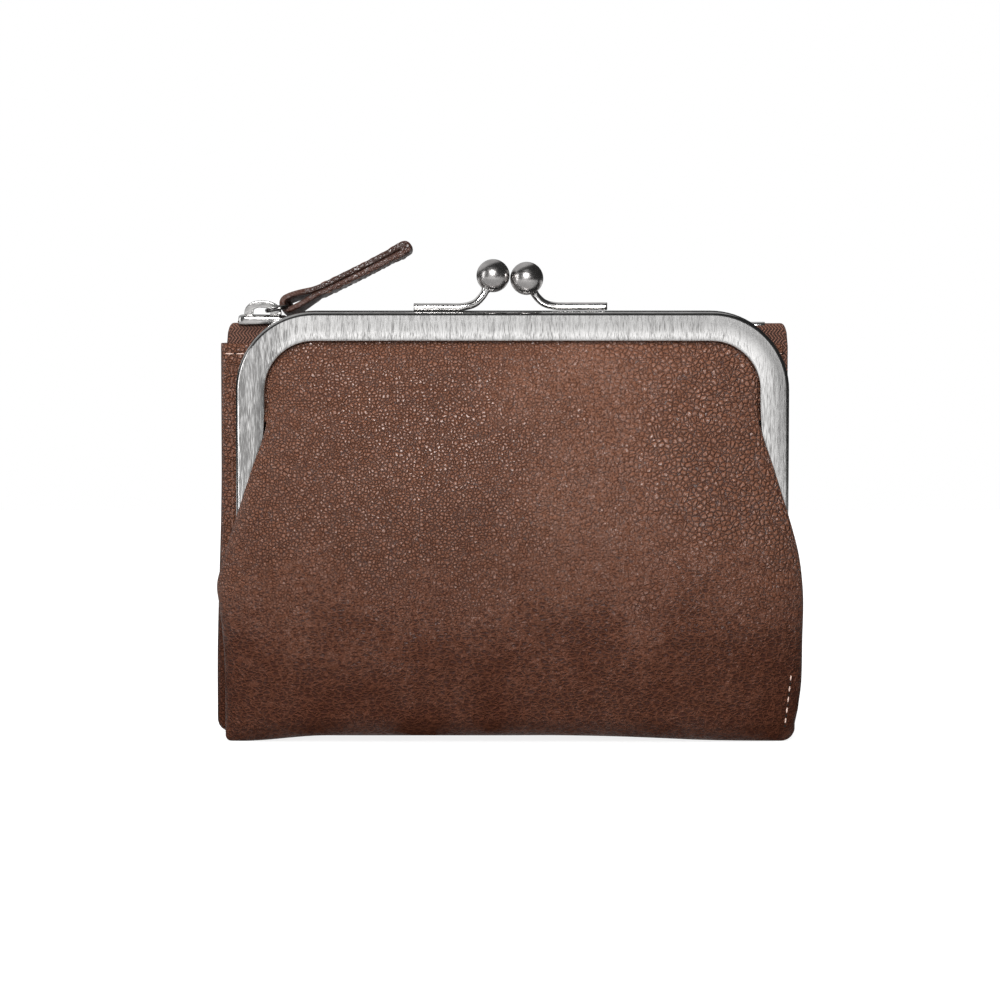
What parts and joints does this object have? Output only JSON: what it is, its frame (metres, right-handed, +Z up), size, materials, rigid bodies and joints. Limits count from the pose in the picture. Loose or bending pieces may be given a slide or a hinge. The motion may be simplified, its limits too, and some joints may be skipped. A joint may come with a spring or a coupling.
{
  "type": "coin purse",
  "caption": "Leather coin purse with a hinged metal clasp frame, two kissing ball latches and a flat zip pocket on its back.",
  "frame": {"origin": "middle of the flat base that the purse stands on", "axes": "+X along the clasp frame, to the right seen from the front; +Y from the front to the zip pocket; +Z up"},
  "size_m": [0.127, 0.0269, 0.1078],
  "materials": {
    "brushed_frame": "nickel, brushed across the band, polished at the rim",
    "dark_nickel": "polished black nickel",
    "zip_metal": "polished nickel",
    "pouch_leather": "soft brown leather with a pebbled grain",
    "lining_cloth": "plain woven brown lining",
    "zip_cloth": "brown woven zip tape",
    "zip_coil": "brown nylon coil",
    "paper": "twisted paper cord"
  },
  "bodies": {
    "purse_body": {"frame_rear": "brushed_frame", "paper_cord_rear": "paper", "clasp_ball_rear": "dark_nickel", "clasp_arm_rear": "dark_nickel", "hinge_rivet_left": "dark_nickel", "hinge_rivet_right": "dark_nickel", "gusset_left": "pouch_leather", "gusset_right": "pouch_leather", "front_panel_lower": "pouch_leather", "rear_panel": "pouch_leather", "lining_lower": "lining_cloth", "lining_rear": "lining_cloth", "zip_pocket_front_wall": "pouch_leather", "zip_pocket_rear_wall": "pouch_leather", "zip_tape_front": "zip_cloth", "zip_tape_rear": "zip_cloth", "zip_coil_front": "zip_coil", "zip_coil_rear": "zip_coil", "zip_top_stop": "zip_metal", "zip_end_stop": "zip_metal"},
    "front_frame": {"frame_front": "brushed_frame", "paper_cord_front": "paper", "clasp_ball_front": "dark_nickel", "clasp_arm_front": "dark_nickel", "front_panel_upper": "pouch_leather", "lining_front": "lining_cloth"},
    "zip_slider": {"slider_body": "zip_metal", "slider_bridge": "zip_metal"},
    "pull_ring": {"pull_ring": "dark_nickel"},
    "pull_tab": {"pull_tab": "pouch_leather"}
  },
  "joints": [
    {"name": "frame_hinge", "type": "hinge", "parent": "purse_body", "child": "front_frame", "pos_m": [0, 0, 0.036], "axis": [1, 0, 0], "range_deg": [0, 60]},
    {"name": "zip_slide", "type": "slide", "parent": "purse_body", "child": "zip_slider", "axis": [1, 0, 0], "range_m": [0, 0.099]},
    {"name": "ring_swing", "type": "hinge", "parent": "zip_slider", "child": "pull_ring", "pos_m": [-0.0537, 0.0082, 0.0927], "axis": [0, -1, 0], "range_deg": [0, 100]},
    {"name": "tab_swing", "type": "hinge", "parent": "pull_ring", "child": "pull_tab", "pos_m": [-0.0483, 0.0082, 0.094], "axis": [0, -1, 0], "range_deg": [-18, 30]}
  ]
}
